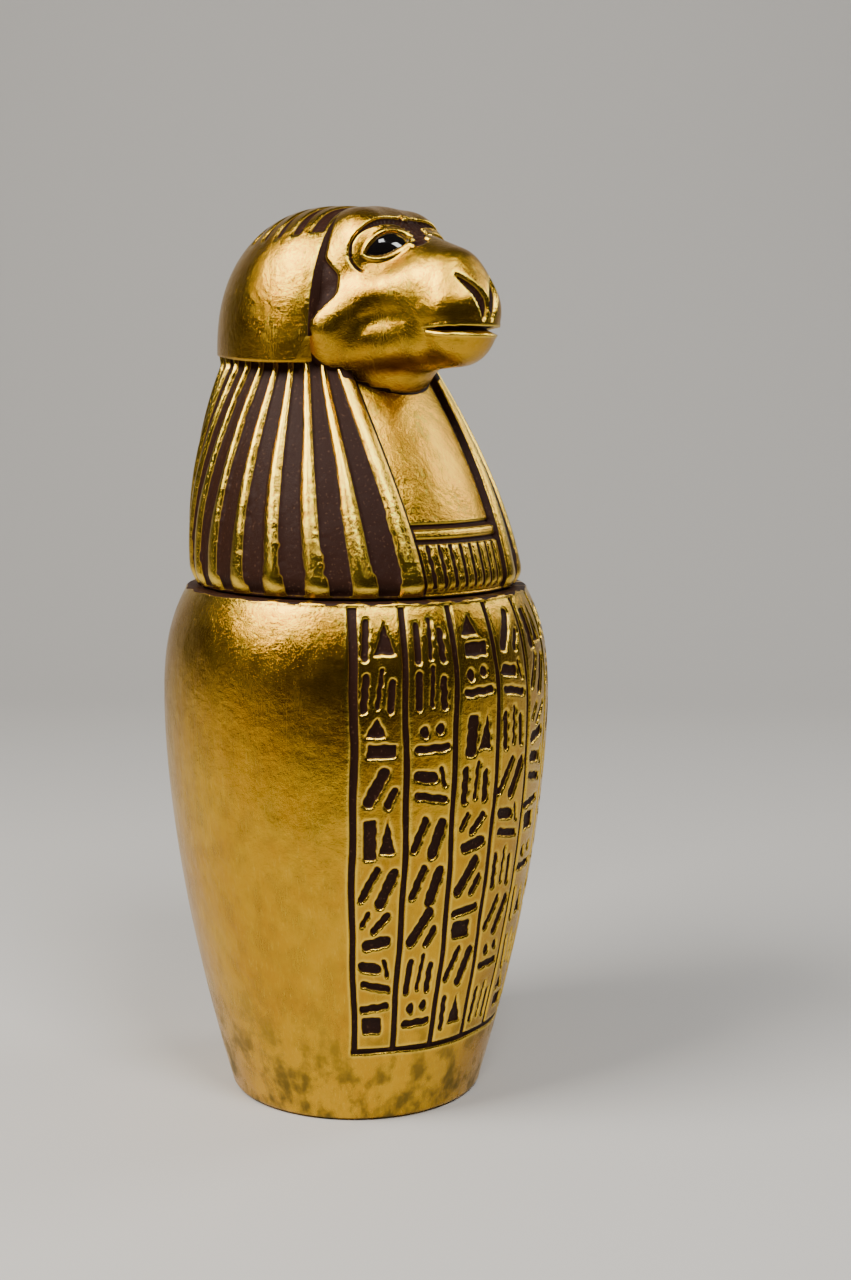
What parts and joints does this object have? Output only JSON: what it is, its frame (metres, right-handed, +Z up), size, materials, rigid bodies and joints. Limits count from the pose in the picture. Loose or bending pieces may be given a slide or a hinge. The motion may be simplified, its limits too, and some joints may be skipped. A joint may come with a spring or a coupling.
{
  "type": "canopic jar",
  "caption": "Lidded canopic jar with a baboon's head in a ribbed head cloth, worn brass leaf over dark brown, with a ruled panel of strokes down its front.",
  "frame": {"origin": "centre of the jar's underside, on the surface it stands on", "axes": "+Z up through the crown of the head; the face and the written panel look along -Y"},
  "size_m": [0.087, 0.0873, 0.2],
  "materials": {
    "brass_leaf": "brushed brass leaf over a cast body, rubbed bright on raised edges, dark brown paint left in the recesses"
  },
  "bodies": {
    "root": {"jar": "brass_leaf", "lid": "brass_leaf"}
  },
  "joints": []
}
